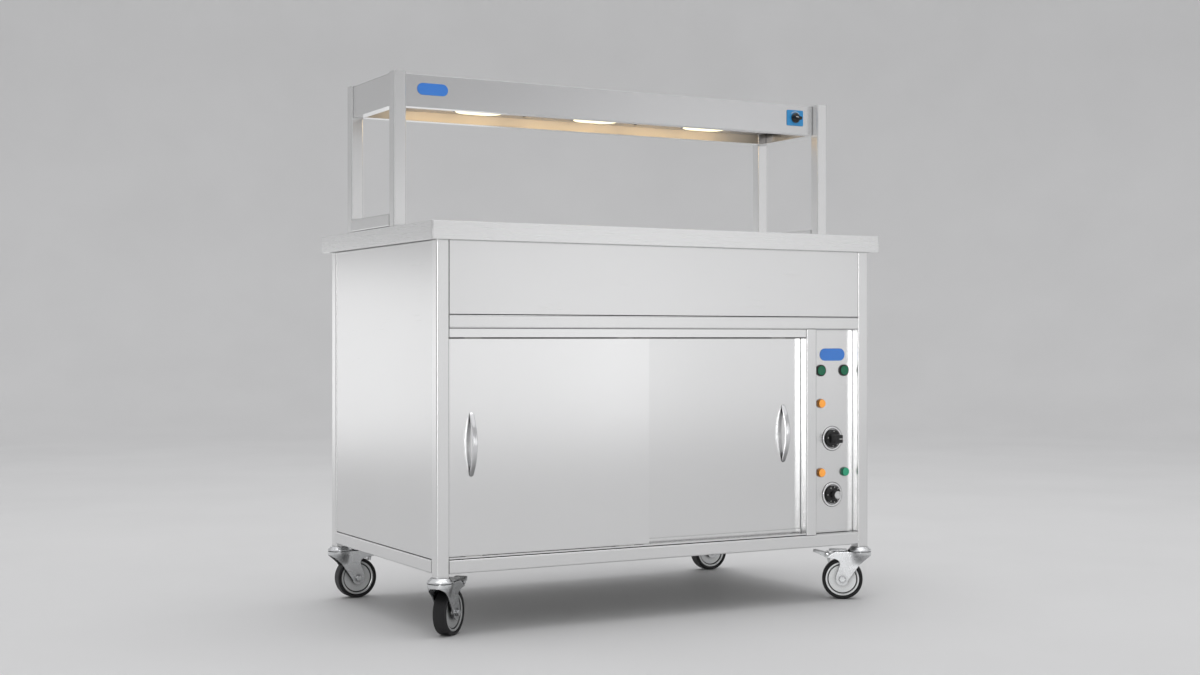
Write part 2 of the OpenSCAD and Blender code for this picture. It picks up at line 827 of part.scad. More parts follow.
// brake pedal: a barrel on the pivot pin, a foot tongue and a brake shoe
module pedal(i) {
    half = leg_y - 1.4;
    color(zinc) at_corner(i) translate([pivot[0], 0, pivot[1]]) rotate([90, 0, 0])
        translate([0, 0, -half]) linear_extrude(2 * half) difference() {
            union() {
                circle(5, $fn = 48);
                rotate(13) polygon([[2, -1], [33, -1.5], [35, 0], [34, 2], [14, 2.5], [2, 4.5]]);
                rotate(257) polygon([[0, -3.5], [19.5, -3], [20.5, 0], [19.5, 3], [0, 3.5]]);
            }
            circle(pivot_r + run, $fn = 48);
        }
}

// ---- small parts ----

module cable_gland() {
    out = by - panel_recess;
    color(black) difference() {
        union() {
            rod_y(gland_x, out, out + 5, gland_z, 14, 6);
            turned_gland(out + 5 - eps);
            rod_y(gland_x, out - 12, out + eps, gland_z, 9.8);
            rod_y(gland_x, out - skin - 6, out - skin, gland_z, 14, 6);
        }
        rod_y(gland_x, out - 20, out + 30, gland_z, gland_bore);
    }
}

// domed clamping nut that points to the rear
module turned_gland(y) {
    translate([gland_x, y, gland_z]) rotate([-90, 0, 0]) rotate_extrude($fn = 64)
        polygon([[0, 0], [12.5, 0], [12.5, 7], [10.5, 12], [8, 14], [0, 14]]);
}

module screws() {
    color(zinc) {
        for (p = rear_screws()) {
            rod_y(p[0], by - panel_recess, by - 0.2, p[1], 4.2, 48);
            rod_y(p[0], by - 12, by - panel_recess + eps, p[1], 2, 32);
        }
        for (x = [-540, -160, 160, 540], y = [canopy_y[0] + 45, canopy_y[1] - 45])
            translate([x, y, plate_z - 2]) cylinder(2, r = 4, $fn = 48);
    }
}

// ---- nodes ----

worktop();
corner_posts();
frame_rails();
mullion();
front_fascia();
left_side_panel();
right_side_panel();
rear_panel();
cupboard_floor();
cupboard_liner();
door_top_track();
door_bottom_track();
middle_shelf();
heating_element();
element_guard();
control_panel();
control_blocks();
amber_pilots();
green_pilot();
dial_rings();
badges();
gantry_posts();
gantry_foot_rails();
canopy_shell();
canopy_end_panels();
reflector_plate();
lamp_housings();
lamp_lenses();
lamp_tubes();
switch_plate();
castor_bearings();
cable_gland();
screws();
door_panel(0);  // left_door_panel
door_handle(0);  // left_door_handle
door_glides(0);  // left_door_glides
door_panel(1);  // right_door_panel
door_handle(1);  // right_door_handle
door_glides(1);  // right_door_glides
push_button(control_x - pair_dx, button_z);  // left_button
push_button(control_x + pair_dx, button_z);  // right_button
knob(control_x, panel_y - 1.2, upper_knob_z, 22, 10, 28, panel_y + 24);  // upper_knob
knob(control_x, panel_y - 1.2, lower_knob_z, 22, 10, 24, panel_y + 24);  // lower_knob
knob(switch_x, canopy_y[0] - 2, switch_z, 13, 7.5, 17, canopy_y[0] + 18);  // gantry_knob
fork(FL);  // front_left_fork
hub(FL);  // front_left_hub
tyre(FL);  // front_left_tyre
pedal(FL);  // front_left_pedal
fork(FR);  // front_right_fork
hub(FR);  // front_right_hub
tyre(FR);  // front_right_tyre
pedal(FR);  // front_right_pedal
fork(RL);  // rear_left_fork
hub(RL);  // rear_left_hub
tyre(RL);  // rear_left_tyre
pedal(RL);  // rear_left_pedal
fork(RR);  // rear_right_fork
hub(RR);  // rear_right_hub
tyre(RR);  // rear_right_tyre
pedal(RR);  // rear_right_pedal
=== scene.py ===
import json
import math

import bmesh
import bpy
from mathutils import Matrix, Vector


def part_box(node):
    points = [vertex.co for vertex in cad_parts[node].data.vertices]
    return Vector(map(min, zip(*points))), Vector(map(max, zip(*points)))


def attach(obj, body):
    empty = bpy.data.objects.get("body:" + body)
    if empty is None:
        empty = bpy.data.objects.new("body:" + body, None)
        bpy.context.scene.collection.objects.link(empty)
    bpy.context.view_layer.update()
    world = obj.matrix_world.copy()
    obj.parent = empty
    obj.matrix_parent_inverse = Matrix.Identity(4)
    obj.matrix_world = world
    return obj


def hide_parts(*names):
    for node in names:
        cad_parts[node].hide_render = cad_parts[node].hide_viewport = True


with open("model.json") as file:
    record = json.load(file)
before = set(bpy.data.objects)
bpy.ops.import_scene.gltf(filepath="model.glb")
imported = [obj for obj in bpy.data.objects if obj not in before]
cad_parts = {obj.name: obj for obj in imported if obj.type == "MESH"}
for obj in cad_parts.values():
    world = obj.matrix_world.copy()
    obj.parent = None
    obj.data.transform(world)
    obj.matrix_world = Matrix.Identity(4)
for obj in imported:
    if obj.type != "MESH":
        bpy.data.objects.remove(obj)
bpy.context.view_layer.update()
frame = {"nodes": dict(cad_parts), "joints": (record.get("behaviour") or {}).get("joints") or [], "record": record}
record = frame["record"]
joints = {j["name"]: j for j in frame["joints"]}
MM = 0.001
CORNERS = ("front_left", "front_right", "rear_left", "rear_right")
LENS_L = 0.1196    # length of one lamp lens, metres
SHARP = math.radians(38)    # edges steeper than this stay sharp in smooth shading
BEVEL_FROM = math.radians(32)    # edges steeper than this are rounded


# ---- materials ----

class Shader:
    """A Principled material under construction.

    put() and the methods built on it take a number, a colour or a node's output.
    """

    def __init__(self, name, **values):
        self.mat = bpy.data.materials.new(name)
        self.mat.use_nodes = True
        self.nodes, self.links = self.mat.node_tree.nodes, self.mat.node_tree.links
        self.bsdf = next(n for n in self.nodes if n.type == "BSDF_PRINCIPLED")
        self.at = self.node("ShaderNodeTexCoord").outputs["Object"]
        self.shade(**values)

    def node(self, kind, **settings):
        n = self.nodes.new(kind)
        for key, value in settings.items():
            setattr(n, key, value)
        return n

    def put(self, socket, value):
        if isinstance(value, bpy.types.NodeSocket):
            self.links.new(value, socket)
        elif socket.type == "RGBA" and len(value) == 3:
            socket.default_value = (*value, 1)
        else:
            socket.default_value = value

    def shade(self, **values):
        """Sets inputs of the Principled shader, with _ for a space in the name."""
        for key, value in values.items():
            self.put(self.bsdf.inputs[key.replace("_", " ")], value)
        return self

    def noise(self, scale, detail=3, rough=0.55, seed=0.0):
        """Noise in object space; a scale of three numbers stretches it."""
        place = self.node("ShaderNodeMapping")
        self.put(place.inputs["Vector"], self.at)
        place.inputs["Scale"].default_value = scale if isinstance(scale, tuple) else (scale,) * 3
        place.inputs["Location"].default_value = (seed, seed * 1.7, seed * 0.6)
        n = self.node("ShaderNodeTexNoise")
        self.put(n.inputs["Vector"], place.outputs[0])
        n.inputs["Scale"].default_value = 1
        n.inputs["Detail"].default_value = detail
        n.inputs["Roughness"].default_value = rough
        return n.outputs[0]

    def span(self, value, low, high, to_low=0.0, to_high=1.0):
        """Maps low..high to to_low..to_high and clamps outside it."""
        n = self.node("ShaderNodeMapRange")
        for socket, v in zip(n.inputs, (value, low, high, to_low, to_high)):
            self.put(socket, v)
        return n.outputs[0]

    def calc(self, operation, *values):
        n = self.node("ShaderNodeMath", operation=operation)
        for socket, v in zip(n.inputs, values):
            self.put(socket, v)
        return n.outputs[0]

    def mix(self, factor, a, b):
        """Colours a and b mixed."""
        n = self.node("ShaderNodeMix", data_type="RGBA")
        for i, v in ((0, factor), (6, a), (7, b)):
            self.put(n.inputs[i], v)
        return n.outputs[2]

    def blend(self, factor, a, b):
        """Numbers a and b mixed."""
        n = self.node("ShaderNodeMix", data_type="FLOAT")
        for i, v in ((0, factor), (2, a), (3, b)):
            self.put(n.inputs[i], v)
        return n.outputs[0]

    def bump(self, height, strength, distance=0.0002):
        n = self.node("ShaderNodeBump")
        n.inputs["Strength"].default_value = strength
        n.inputs["Distance"].default_value = distance
        self.put(n.inputs["Height"], height)
        self.put(self.bsdf.inputs["Normal"], n.outputs[0])
        return self

    def painted_crevice_shade(self, color, shade, reach=0.007, clear=0.85):
        """The colour with painted shade, darker where faces meet or stand close together."""
        near = self.node("ShaderNodeAmbientOcclusion", samples=4)
        near.inputs["Distance"].default_value = reach
        return self.mix(self.span(near.outputs["AO"], 0.25, clear), shade, color)

    def along(self, vector, axis):
        """One component of a vector: 0 is X, 1 is Y and 2 is Z."""
        n = self.node("ShaderNodeSeparateXYZ")
        self.put(n.inputs[0], vector)
        return n.outputs[axis]

    def normal(self, axis):
        """How far a face looks along an axis, from -1 to 1."""
        return self.along(self.node("ShaderNodeNewGeometry").outputs["Normal"], axis)

    def frontness(self):
        """1 on faces that look to the front or the rear, 0 on their sides."""
        return self.span(self.calc("ABSOLUTE", self.normal(1)), 0.5, 0.8)

    def upness(self):
        """1 on faces that look up or down, 0 on upright ones."""
        return self.calc("ABSOLUTE", self.normal(2))


def scaled(color, k):
    """The colour times k, with no channel above 1."""
    return tuple(min(1.0, c * k) for c in color)


def brushed(name, color, rough, upright=False, smudge=0.008, seed=0.0):
    """Brushed stainless: the grain runs level on sheets, or up and down on upright tube."""
    s = Shader(name, Metallic=1.0, Anisotropic=0.35)
    tangent = s.node("ShaderNodeTangent", direction_type="RADIAL", axis="Z")
    s.put(s.bsdf.inputs["Tangent"], tangent.outputs[0])
    if upright:
        s.shade(Anisotropic_Rotation=0.25)
        grain = s.noise((900, 900, 5), 4, 0.65, seed)
    else:
        grain = s.blend(s.upness(), s.noise((5, 5, 900), 4, 0.65, seed),
                        s.noise((5, 900, 5), 4, 0.65, seed + 3))
    cloud = s.noise(3.2, 2, 0.5, seed + 7)
    prints = s.span(s.noise(9, 4, 0.55, seed + 11), 0.5, 0.8)
    tone = s.mix(s.span(grain, 0.3, 0.7), scaled(color, 0.985), scaled(color, 1.01))
    tone = s.mix(s.span(cloud, 0.3, 0.7), tone, scaled(color, 0.99))
    # Painted shade: the steel is darker in seams and corners.
    s.shade(Base_Color=s.painted_crevice_shade(tone, scaled(color, 0.55)))
    base = s.span(grain, 0.25, 0.75, rough - 0.015, rough + 0.015)
    s.shade(Roughness=s.calc("ADD", base, s.calc("MULTIPLY", prints, smudge)))
    s.bump(grain, 0.02, 0.00002)
    return s


def trough_steel(name, color, rough, seed):
    """Canopy sheet: brushed outside, dull on its inner faces, where the lamps' warm light is painted into the
    colour.
    """
    painted_lamp_light, dull, margin = (0.86, 0.80, 0.70), 0.62, 0.03
    s = brushed(name, color, rough, seed=seed)
    lo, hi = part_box("canopy_shell")
    side = s.span(s.along(s.at, 1), lo.y + margin, hi.y - margin, -1, 1)
    inner = s.span(s.calc("MULTIPLY", side, s.normal(1)), -0.6, -0.4, 1, 0)
    outer_rough = s.bsdf.inputs["Roughness"].links[0].from_socket
    s.shade(Roughness=s.blend(inner, outer_rough, dull))
    outer_color = s.bsdf.inputs["Base Color"].links[0].from_socket
    # Painted light: the inner faces take a warm tint for the lamps' glow.
    s.shade(Base_Color=s.mix(inner, outer_color, painted_lamp_light))
    return s


def plated(name, color, rough, seed=0.0, reach=0.007):
    """Zinc or chrome plate with a faint haze and small scuffs, with painted shade underneath and in its corners.
    """
    s = Shader(name, Metallic=1.0)
    haze = s.noise(38, 3, 0.55, seed)
    scuff = s.span(s.noise((160, 160, 240), 4, 0.7, seed + 5), 0.62, 0.72)
    tone = s.mix(s.span(haze, 0.3, 0.7), scaled(color, 0.93), color)
    # Painted shade: faces that look down are darker.
    tone = s.mix(s.span(s.normal(2), -0.45, -0.08), scaled(color, 0.42), tone)
    # Painted shade: much darker in seams and corners.
    s.shade(Base_Color=s.painted_crevice_shade(tone, scaled(color, 0.10), reach, 0.97))
    s.shade(Roughness=s.calc("ADD", s.span(haze, 0.3, 0.7, rough, rough + 0.06),
                             s.calc("MULTIPLY", scuff, 0.10)))
    s.bump(haze, 0.04, 0.00005)
    return s


def moulded(name, color, rough, texture=700, scuff=0.12, **extra):
    """Moulded plastic or rubber with a fine skin texture and rubbed patches."""
    s = Shader(name, **extra)
    skin = s.noise(texture, 2, 0.5)
    rubbed = s.span(s.noise(55, 5, 0.65, 4), 0.5, 0.75)
    s.shade(Base_Color=s.mix(rubbed, color, scaled(color, 1.0 + 2.5 * scuff)))
    s.shade(Roughness=s.calc("ADD", s.span(skin, 0.3, 0.7, rough - 0.03, rough + 0.05),
                             s.calc("MULTIPLY", rubbed, scuff)))
    s.bump(skin, 0.12, 0.00008)
    return s


def lit(name, color, glow, strength, rough=0.18, rim=True, **extra):
    """A translucent cap or lens with light behind it; rim gives its sides painted shade, darker and with less
    glow.
    """
    s = Shader(name, Roughness=rough, Emission_Strength=strength, **extra)
    cloud = s.span(s.noise(150, 2, 0.5), 0.3, 0.7)
    face = s.frontness() if rim else 1.0
    body = s.mix(cloud, scaled(color, 0.9), color)
    light = s.mix(cloud, scaled(glow, 0.85), glow)
    # Painted shade: the sides are darker and glow less than the face.
    s.shade(Base_Color=s.mix(face, scaled(color, 0.22), body))
    s.shade(Emission_Color=s.mix(face, scaled(glow, 0.05), light))
    s.bump(s.noise(500, 2, 0.5), 0.03, 0.00005)
    return s


SHEET = (0.80, 0.80, 0.80)
SHADERS = {
    "worktop": brushed("worktop_steel", (0.83, 0.83, 0.83), 0.27, seed=1),
    "frame_tube": brushed("tube_steel_upright", SHEET, 0.24, upright=True, seed=2),
    "outer_sheet": brushed("sheet_steel", SHEET, 0.26, seed=4),
    "door_sheet": brushed("door_steel", (0.82, 0.82, 0.82), 0.19, seed=5),
    "liner_sheet": brushed("liner_steel", (0.70, 0.70, 0.69), 0.34, seed=6),
    "track": brushed("track_steel", (0.81, 0.81, 0.81), 0.22, seed=8),
    "element_sheath": plated("element_steel", (0.34, 0.31, 0.28), 0.42),
    "black_plastic": moulded("black_plastic", (0.012, 0.012, 0.013), 0.42),
    "black_knob": moulded("knob_plastic", (0.010, 0.010, 0.011), 0.33),
    "amber_lens": lit("amber_lens", (0.90, 0.36, 0.06), (1.0, 0.40, 0.06), 0.42),
    "green_lens": lit("green_lens", (0.03, 0.38, 0.21), (0.06, 0.60, 0.34), 0.12),
    "green_button": lit("green_button", (0.004, 0.165, 0.075), (0.01, 0.30, 0.15), 0.05),
    "dial_metal": brushed("dial_aluminium", (0.84, 0.84, 0.85), 0.24, smudge=0.02, seed=9),
    "blue_badge": moulded("badge_blue", (0.055, 0.270, 0.860), 0.30, 260, 0.02, Coat_Weight=0.3),
    "blue_plate": moulded("plate_blue", (0.045, 0.350, 0.760), 0.32, 260, 0.02),
    "lamp_metal": plated("lamp_metal", (0.88, 0.88, 0.90), 0.46),
    "lamp_glass": lit("lamp_glass", (1.0, 0.95, 0.80), (1.0, 0.93, 0.56), 1.5, rim=False),
    "lamp_quartz": lit("lamp_quartz", (1.0, 0.90, 0.66), (1.0, 0.84, 0.46), 3.0, rim=False),
    "zinc": plated("zinc_plate", (0.74, 0.75, 0.76), 0.24, seed=3, reach=0.009),
    "wheel_hub": plated("hub_metal", (0.72, 0.73, 0.73), 0.36, seed=10, reach=0.02),
    "tyre_rubber": moulded("tyre_rubber", (0.008, 0.008, 0.009), 0.55, 420, 0.06),
    "handle_chrome": plated("handle_chrome", (0.86, 0.86, 0.87), 0.12, seed=6),
    "nylon": moulded("nylon", (0.72, 0.71, 0.67), 0.45, 300, 0.04),
}
MATS = {slot: shader.mat for slot, shader in SHADERS.items()}
RAIL = brushed("tube_steel_level", SHEET, 0.25, seed=12).mat
CANOPY = trough_steel("canopy_steel", (0.72, 0.72, 0.725), 0.24, 15).mat
WHITE = moulded("white_mark", (0.82, 0.82, 0.80), 0.45, 500, 0.02).mat
SILVER = plated("cap_silver", (0.78, 0.78, 0.78), 0.34, seed=8).mat
REFLECTOR = brushed("reflector_steel", (0.86, 0.86, 0.88), 0.50, seed=17).mat
# Painted shade: the right door is a slightly darker copy of the door steel.
SHADED_DOOR = brushed("shaded_door_steel", (0.79, 0.79, 0.79), 0.20, seed=19).mat
SPECIAL = {
    "frame_rails": RAIL, "gantry_foot_rails": RAIL, "canopy_shell": CANOPY,
    "reflector_plate": REFLECTOR, "right_door_panel": SHADED_DOOR,
}

for part in record["subparts"]:
    for holder in frame["nodes"][part["node"]].material_slots:
        holder.material = SPECIAL.get(part["node"], MATS[part["material_slot"]])


# ---- folded and rounded edges on the CAD nodes ----

def round_edges(piece, width):
    """Rounds the sharp edges of a piece by width (mm)."""
    bevel = piece.modifiers.new("edges", "BEVEL")
    bevel.width = width * MM
    bevel.segments = 2
    bevel.limit_method = "ANGLE"
    bevel.angle_limit = BEVEL_FROM
    bevel.harden_normals = True


EDGE_MM = {
    "worktop": 1.2, "front_fascia": 0.4, "left_side_panel": 0.4, "right_side_panel": 0.4,
    "rear_panel": 0.4, "control_panel": 0.5, "door_top_track": 0.3, "door_bottom_track": 0.35,
    "left_door_panel": 1.7, "right_door_panel": 1.7, "canopy_shell": 0.5,
    "canopy_end_panels": 0.4, "middle_shelf": 0.4, "badges": 0.35, "switch_plate": 0.5,
    "lamp_housings": 0.4, "control_blocks": 0.6, "left_button": 0.5, "right_button": 0.5,
    "castor_bearings": 0.5, "screws": 0.4, "cable_gland": 0.5,
}
for name, width in EDGE_MM.items():
    node = frame["nodes"][name]
    weld = node.modifiers.new("weld", "WELD")
    weld.merge_threshold = 0.00001
    flat = node.modifiers.new("flat_faces", "DECIMATE")
    flat.decimate_type = "DISSOLVE"
    flat.angle_limit = math.radians(0.5)
    round_edges(node, width)


# ---- mesh helpers ----

def made(name, bm, material, merge, matrix=None):
    """The bmesh as a smooth-shaded object with one material; points nearer than merge join."""
    bmesh.ops.remove_doubles(bm, verts=bm.verts, dist=merge)
    bmesh.ops.recalc_face_normals(bm, faces=bm.faces)
    if matrix is not None:
        bmesh.ops.transform(bm, matrix=matrix, verts=bm.verts)
    mesh = bpy.data.meshes.new(name)
    bm.to_mesh(mesh)
    bm.free()
    mesh.materials.append(material)
    mesh.shade_smooth()
    piece = bpy.data.objects.new(name, mesh)
    bpy.context.scene.collection.objects.link(piece)
    return piece


def finished(name, bm, material, body, bevel=0.0, matrix=None):
    """The bmesh as a piece that rides on a body, with rounded edges if bevel (mm) is given."""
    piece = made(name, bm, material, 1e-6, matrix)
    piece.data.set_sharp_from_angle(angle=SHARP)
    if bevel:
        round_edges(piece, bevel)
    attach(piece, body)
    return piece


def rings(bm, loops, closed=True, caps=True):
    """Skins a list of equally long point loops; caps closes both ends."""
    rows = [[bm.verts.new(p) for p in loop] for loop in loops]
    n = len(rows[0])
    for a, b in zip(rows, rows[1:]):
        for i in range(n if closed else n - 1):
            bm.faces.new((a[i], a[(i + 1) % n], b[(i + 1) % n], b[i]))
    if caps and closed:
        bm.faces.new(rows[0][::-1])
        bm.faces.new(rows[-1])


def lathe(bm, profile, matrix, count=64):
    """Spins [radius, height] points (mm) round the matrix's own Z axis."""
    rings(bm, [[matrix @ (Vector((r * math.cos(t), r * math.sin(t), h)) * MM)
                for t in (2 * math.pi * i / count for i in range(count))]
               for r, h in profile])


def prism(bm, outline, low, high, matrix):
    """A plate with the given outline (mm) between two heights of the matrix's Z axis."""
    rings(bm, [[matrix @ (Vector((x, y, h)) * MM) for x, y in outline] for h in (low, high)])


def facing(x, y, z):
    """A frame at a point of an upright panel: X right, Y up, Z towards the front."""
    return Matrix(((1, 0, 0, x), (0, 0, -1, y), (0, 1, 0, z), (0, 0, 0, 1)))


def round_rect(w, d, r, count=6):
    """The outline of a rectangle with corners of radius r."""
    return [(sx * (w / 2 - r) + r * math.cos(t), sy * (d / 2 - r) + r * math.sin(t))
            for k, (sx, sy) in enumerate(((1, 1), (-1, 1), (-1, -1), (1, -1)))
            for t in (math.pi / 2 * (k + i / count) for i in range(count + 1))]


def step(x):
    """A smooth step from 0 to 1 while x goes from 0 to 1."""
    x = max(0.0, min(1.0, x))
    return x * x * (3 - 2 * x)


# ---- bow handles ----

def arc(half, rise, z):
    """How far an arc that crosses the door at +/-half stands out at height z (mm)."""
    r = (half * half + rise * rise) / (2 * rise)
    return max(0.0, math.sqrt(max(0.0, r * r - z * z)) - (r - rise))


def bow_handle(side):
    """A moon-shaped bar, thick in the middle, whose round ends rest on the door."""
    node = f"{side}_door_handle"
    lo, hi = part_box(node)
    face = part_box(f"{side}_door_panel")[0].y
    at = Vector(((lo.x + hi.x) / 2, face, (lo.z + hi.z) / 2))
    out, half, wide = (face - lo.y) / MM, (hi.z - lo.z) / 2 / MM, (hi.x - lo.x) / MM
    foot, thick, steps = 8.0, 10.5, 72
    bm = bmesh.new()
    loops = []
    for i in range(steps + 1):
        z = (half - 0.02) * math.sin(math.pi / 2 * (2 * i / steps - 1))
        front, back = arc(half, out, z), arc(half - foot, out - thick, z)
        past = max(0.0, abs(z) - (half - wide / 2)) / (wide / 2)
        w = wide * (0.94 + 0.06 * (1 - (z / half) ** 2)) * math.sqrt(max(0.0004, 1 - past * past))
        d = max(front - back, 0.06)
        r = min(2.4, w * 0.45, d * 0.45)
        loops.append([at + MM * Vector((x, -(front + back) / 2 - y, z))
                      for x, y in round_rect(w, d, r, 5)])
    rings(bm, loops)
    piece = finished(f"{side}_bow_handle", bm, MATS["handle_chrome"], f"{side}_door")
    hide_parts(node)


for side in ("left", "right"):
    bow_handle(side)


# ---- knobs ----

def knob_mount(node, plane):
    """The frame on the panel under a knob, the knob's radius and how far it stands out (mm)."""
    lo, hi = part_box(node)
    return (facing((lo.x + hi.x) / 2, plane, (lo.z + hi.z) / 2), (hi.x - lo.x) / 2 / MM,
            (plane - lo.y) / MM)


def dash(bm, angle, r0, r1, width, z, matrix):
    """A radial mark from r0 to r1, sunk into the surface at height z (mm)."""
    c, s = math.cos(angle), math.sin(angle)
    prism(bm, [(r * c - t * s, r * s + t * c) for r, t in
               ((r0, -width / 2), (r1, -width / 2), (r1, width / 2), (r0, width / 2))],
          z - 0.6, z + 0.25, matrix)


def skirt_knob(node, body, plane, grip, marks, mark_size, pointer, bar=(24, 20)):
    """A smooth skirt with a finger bar or a round boss, and white marks let into it."""
    m, r, reach = knob_mount(node, plane)
    bm = bmesh.new()
    base = 2.0 if r > 15 else 2.8
    lathe(bm, [(r - 1, base), (r, base + 0.6), (r, base + 2.6), (r - 0.8, base + 3.6),
               (r - 2.2, base + 5.6), (r * 0.55, base + 7.2), (0.01, base + 7.4)], m, 72)
    lathe(bm, [(3.0, -4), (3.0, base + 1)], m, 24)
    if grip == "bar":
        loops = []
        long, wide = bar
        for h, k in ((base + 4, 1.04), (reach - 2.4, 1.0), (reach - 0.7, 0.97), (reach, 0.88)):
            loops.append([m @ (Vector((x, y, h)) * MM)
                          for x, y in round_rect(long * k, wide * k, 2.0 * k)])
        turned = Matrix.Rotation(pointer, 4, "Z")
        loops = [[m @ turned @ m.inverted() @ p for p in loop] for loop in loops]
        rings(bm, loops)
    else:
        lathe(bm, [(r * 0.50, base + 4), (r * 0.47, reach - 3), (r * 0.46, reach - 1.6),
                   (r * 0.40, reach - 1.1), (0.01, reach - 1.1)], m, 48)
    piece = finished(f"{node}_moulding", bm, MATS["black_knob"], body, bevel=0.3)
    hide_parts(node)
    bm = bmesh.new()
    mark_r = r - 3.9
    for angle in marks:
        dash(bm, angle, mark_r - mark_size[0] / 2, mark_r + mark_size[0] / 2, mark_size[1],
             base + 6.2, m)
    if grip == "bar":
        dash(bm, pointer, 1, bar[0] / 2 - 1.5, 1.6, reach, m)
    finished(f"{node}_marks", bm, WHITE, body)
    if grip == "boss":
        bm = bmesh.new()
        lathe(bm, [(r * 0.445, reach - 1.6), (r * 0.445, reach - 0.5), (r * 0.41, reach),
                   (r * 0.27, reach), (r * 0.25, reach - 0.5), (0.01, reach - 0.5)], m, 48)
        finished(f"{node}_cap", bm, SILVER, body)


panel_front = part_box("control_panel")[0].y
skirt_knob("upper_knob", "upper_rotary", panel_front, "bar",
           [math.radians(a) for a in (90, 172, 262, 305)], (1.3, 3.8), math.radians(0))
skirt_knob("lower_knob", "lower_rotary", panel_front, "boss",
           [math.radians(a) for a in (50, 85, 120, 180, 240, 275, 310)], (3.4, 1.2), 0)
skirt_knob("gantry_knob", "gantry_rotary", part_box("canopy_shell")[0].y, "bar",
           [], (1, 1), math.radians(170), (22, 8))


def switch_scale():
    """A white arc over the gantry switch, printed on its plate."""
    inner_r, outer_r, start, sweep, steps = 15.4, 16.6, 40, 100, 24
    lo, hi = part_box("switch_plate")
    m = facing((lo.x + hi.x) / 2, lo.y, (lo.z + hi.z) / 2)
    bm = bmesh.new()
    turns = [math.radians(start + sweep * i / steps) for i in range(steps + 1)]
    outline = ([(outer_r * math.cos(t), outer_r * math.sin(t)) for t in turns]
               + [(inner_r * math.cos(t), inner_r * math.sin(t)) for t in reversed(turns)])
    prism(bm, outline, -0.05, 0.12, m)
    finished("switch_scale", bm, WHITE, "cabinet")


switch_scale()


def dial_bezel(node):
    """Bright convex rings round both dials, each with a thin black ring under its edge as a painted shadow."""
    ring_r, ring_half, foot = 26.6, 3.2, 0.8
    lo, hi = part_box(node)
    r, rise = (hi.x - lo.x) / 2 / MM, (hi.y - lo.y) / MM
    ring, shadow_ring = bmesh.new(), bmesh.new()
    for z in (lo.z + r * MM, hi.z - r * MM):
        m = facing((lo.x + hi.x) / 2, hi.y, z)
        crown = [(ring_r + ring_half * math.cos(t), foot + (rise - foot) * math.sin(t))
                 for t in (math.pi * i / 12 for i in range(13))]
        lathe(ring, [(12, 0.3), (29.8, 0.3)] + crown + [(12, 0.9)], m, 96)
        # Painted shadow: a thin black ring under the bezel's edge.
        lathe(shadow_ring, [(29.0, 0.05), (30.6, 0.05), (30.6, 0.55), (29.0, 0.55)], m, 96)
    piece = finished("dial_bezels", ring, MATS["dial_metal"], "cabinet")
    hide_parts(node)
    finished("dial_shadow_rings", shadow_ring, MATS["black_plastic"], "cabinet")


def pilot_cap(node, material):
    """A thimble-shaped lens cap over each pilot lamp."""
    lo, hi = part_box(node)
    r = (hi.x - lo.x) / 2 / MM
    bm = bmesh.new()
    for z in sorted({round(v, 5) for v in (lo.z + r * MM, hi.z - r * MM)}):
        m = facing((lo.x + hi.x) / 2, panel_front, z)
        lathe(bm, [(r + 0.05, 0.1), (r + 0.05, 2.4), (r - 0.5, 3.0), (r - 0.7, 6.6),
                   (r - 1.3, 7.6), (r - 2.6, 8.3), (r * 0.4, 8.8), (0.01, 8.9)], m, 64)
    finished(f"{node}_cap", bm, MATS[material], "cabinet")


dial_bezel("dial_rings")
pilot_cap("amber_pilots", "amber_lens")
pilot_cap("green_pilot", "green_lens")


def lens_domes():
    """Frosted lamp lenses that bulge a little below their bezels."""
    drop, steps = 4.5, 10
    lo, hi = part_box("lamp_lenses")
    length, width, top = LENS_L / MM, (hi.y - lo.y) / MM, (hi.z - lo.z) / MM
    pitch = ((hi.x - lo.x) - LENS_L) / 2
    bm = bmesh.new()
    for i in (-1, 0, 1):
        m = Matrix.Translation((i * pitch, (lo.y + hi.y) / 2, lo.z))
        side = [(0.05, top), (0.05, 0.3)]
        bulge = [(width / 2 * (1 - math.cos(t)), -drop * math.sin(t))
                 for t in (math.pi / 2 * k / steps for k in range(steps))]
        rings(bm, [[m @ (Vector((x, y, z)) * MM) for x, y in round_rect(
            length - 2 * inset, width - 2 * inset, width / 2 - inset - 0.01, 10)]
                   for inset, z in side + bulge])
    piece = finished("lens_domes", bm, MATS["lamp_glass"], "cabinet")
    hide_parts("lamp_lenses")


lens_domes()


# ---- castors ----

HEAD_R = 29.0          # radius of the shell where it wraps round the swivel head
FLAT = 20.3            # each leg's distance from the castor's middle plane
TOP = 117.6            # height of the fork's top
SHEET_T = 2.4          # thickness of the pressed sheet
AXLE = (42.0, 50.0)    # the axle along the trail, and its height
FOOT_R = 15.9          # radius of each leg's round lower end
WRAP_LOW = 86          # the shell wraps round the head above this height ...
WRAP_HIGH = 109        # ... and fully above this one
PIN_X = 79             # the pedal's pin along the trail
SHOE_TILT = 13         # how far the brake shoe leans from upright, degrees


def castor_frame(corner):
    """A castor's own frame: X along the trail, Z up, origin on the floor under the swivel."""
    swivel, spin = joints[f"{corner}_swivel"], joints[f"{corner}_wheel_spin"]
    turn = math.atan2(-spin["axis"][0], spin["axis"][1])
    at = Vector(swivel["pos_m"])
    return Matrix.Translation((at.x, at.y, 0)) @ Matrix.Rotation(turn, 4, "Z")


def leading(z):
    """Where the fork's leading edge starts: (wrap angle, trail position) at height z."""
    if z > WRAP_LOW:
        drop = min(1.0, max(0.0, (WRAP_HIGH - z) / (WRAP_HIGH - WRAP_LOW)))
        psi = math.acos(1 - drop ** (1 / 1.2))
        return psi, -HEAD_R * math.cos(psi)
    if z > 41.6:
        return None, (WRAP_LOW - z) / 44.4 * 31
    return None, AXLE[0] - math.sqrt(max(0.0, FOOT_R ** 2 - (AXLE[1] - z) ** 2))


